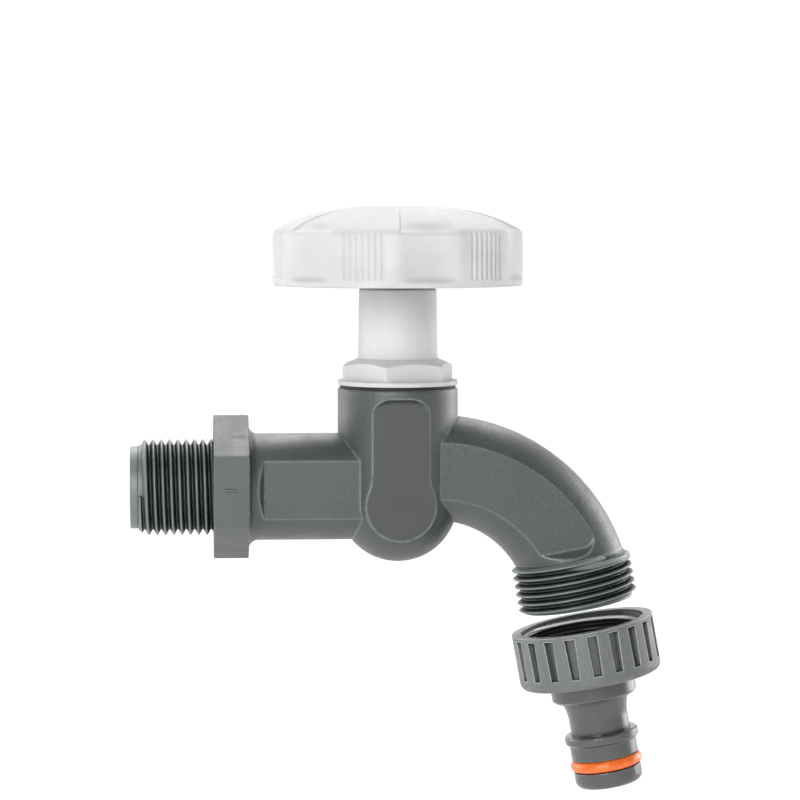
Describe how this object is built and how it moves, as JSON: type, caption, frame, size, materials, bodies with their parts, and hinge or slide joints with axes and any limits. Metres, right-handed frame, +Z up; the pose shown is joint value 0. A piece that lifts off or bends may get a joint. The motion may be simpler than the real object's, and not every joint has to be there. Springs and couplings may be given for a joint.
{
  "type": "water butt tap",
  "caption": "Bib tap for a rain barrel: threaded hex inlet, upright barrel with a rising valve and round handwheel, bent threaded spout, and a screw-on quick hose connector.",
  "frame": {"origin": "middle of the hex flange's wall face, on the inlet axis", "axes": "+X away from the wall along the inlet, +Z up, +Y away from the camera of the picture; the tap is mirrored about Y except for its threads, the bonnet's hex and the wheel"},
  "size_m": [0.1169, 0.0548, 0.1291],
  "materials": {
    "body_grey": "fine textured grey moulding",
    "white_plastic": "fine textured off-white moulding",
    "light_grey": "satin light grey moulding",
    "dark_grey": "satin dark grey moulding",
    "stem_black": "black glass-filled nylon",
    "black_rubber": "matte rubber",
    "orange_rubber": "matte orange rubber",
    "brass": "turned",
    "steel": "stainless, turned"
  },
  "bodies": {
    "body": {"tap_body": "body_grey", "bonnet": "white_plastic", "bonnet_gasket": "black_rubber"},
    "jumper": {"valve_jumper": "brass", "valve_washer": "black_rubber", "washer_nut": "brass"},
    "spindle": {"spindle": "stem_black", "stem_o_ring_upper": "black_rubber", "stem_o_ring_lower": "black_rubber", "handwheel": "white_plastic", "handwheel_screw": "steel", "handwheel_cap": "white_plastic"},
    "connector_slide": {"connector_washer": "black_rubber"},
    "connector": {"connector_body": "dark_grey", "connector_grip": "light_grey", "nipple_o_ring": "orange_rubber"}
  },
  "joints": [
    {"name": "valve_lift", "type": "slide", "parent": "body", "child": "jumper", "axis": [0, 0, 1], "range_m": [0, 0.006]},
    {"name": "handwheel_turn", "type": "hinge", "parent": "jumper", "child": "spindle", "pos_m": [0.0405, 0, 0.044], "axis": [0, 0, 1], "range_deg": [0, 720]},
    {"name": "connector_travel", "type": "slide", "parent": "body", "child": "connector_slide", "axis": [-0.1788, 0, 0.9839], "range_m": [0, 0.0126]},
    {"name": "connector_turn", "type": "hinge", "parent": "connector_slide", "child": "connector", "pos_m": [0.08136, 0, -0.03084], "axis": [-0.1788, 0, 0.9839], "range_deg": [0, 2500.5]}
  ],
  "couplings": [
    {"joint": "valve_lift", "follows": "handwheel_turn", "m_per_rad": 0.00047746},
    {"joint": "connector_travel", "follows": "connector_turn", "m_per_rad": 0.00028871}
  ]
}
